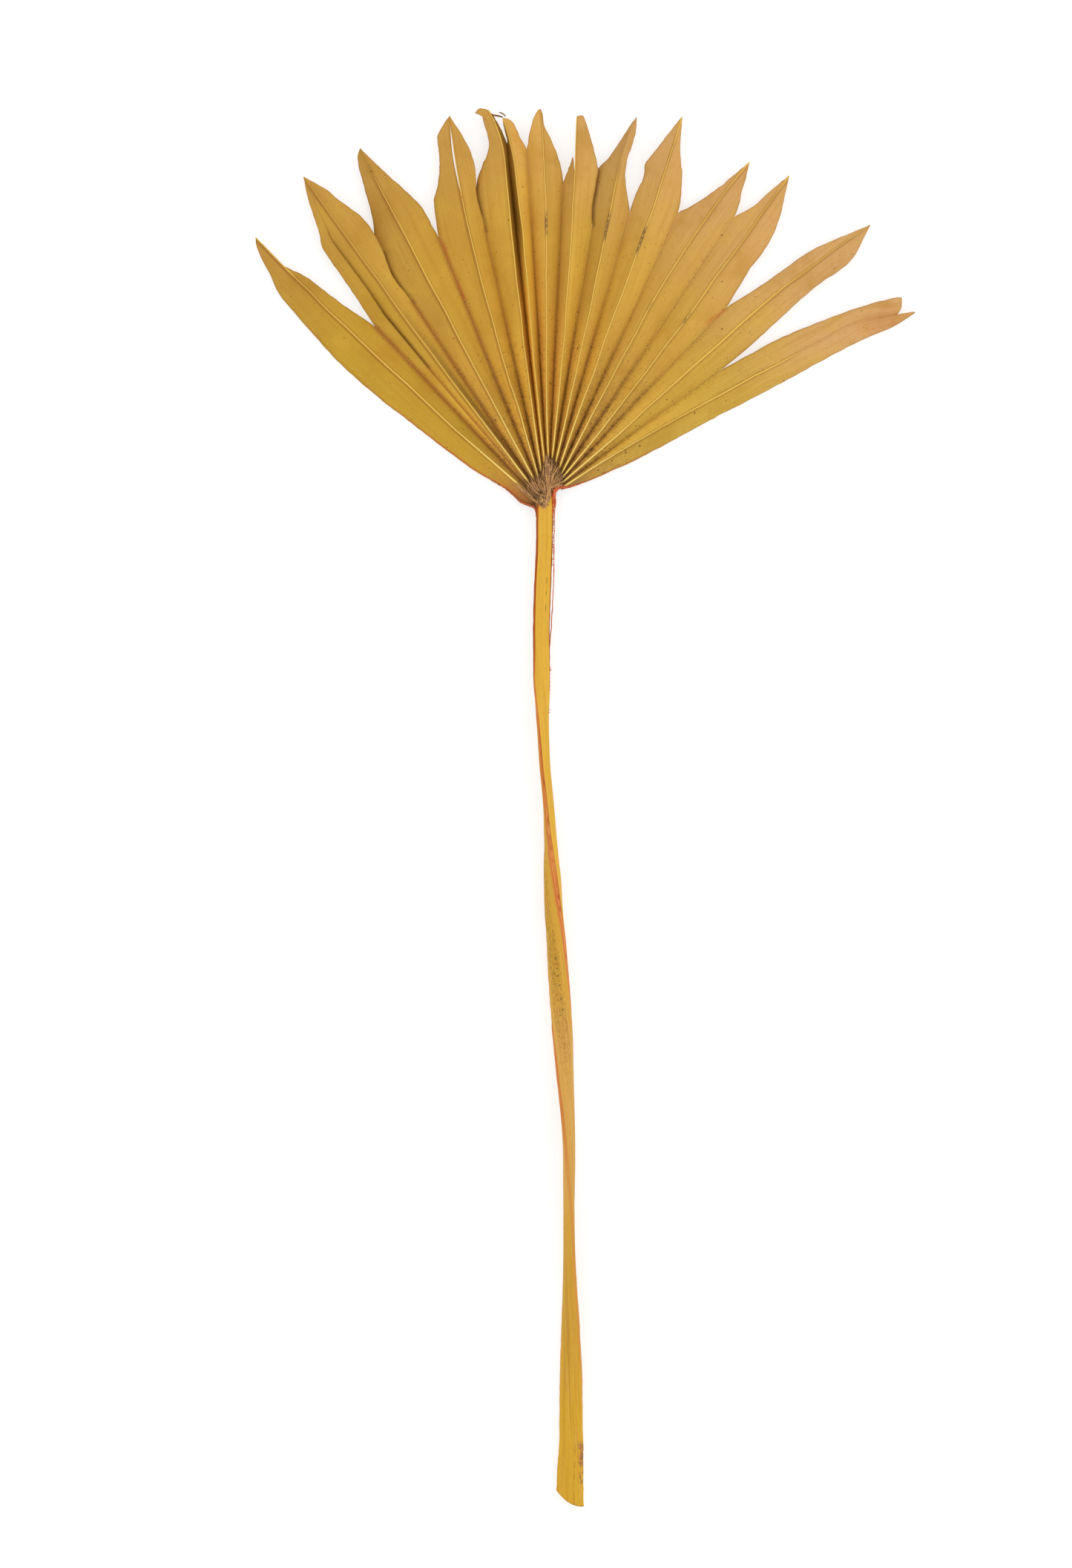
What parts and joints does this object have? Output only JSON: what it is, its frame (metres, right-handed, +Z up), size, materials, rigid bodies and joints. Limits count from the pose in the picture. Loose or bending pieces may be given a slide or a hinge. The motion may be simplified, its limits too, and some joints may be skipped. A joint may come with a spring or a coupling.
{
  "type": "dried palm leaf",
  "caption": "Dried fan palm leaf lying flat: a pleated blade split into pointed segments with raised ribs, on a long, flat, twisted stalk with a slanted cut. For decoration.",
  "frame": {"origin": "middle of the leaf's box, on the surface that it lies on", "axes": "+Z up, the way the ribbed side faces; +Y along the leaf from the cut end of the stalk to the tips; +X to the right seen from above with the tips away from the viewer"},
  "size_m": [0.2397, 0.508, 0.0106],
  "materials": {
    "blade": "dry, fibrous leaf, matte with a faint sheen",
    "hastula": "rough brown fibres",
    "petiole": "smooth dry stalk with a slight sheen and orange edges"
  },
  "bodies": {
    "root": {"blade": "blade", "hastula": "hastula", "petiole": "petiole"}
  },
  "joints": []
}
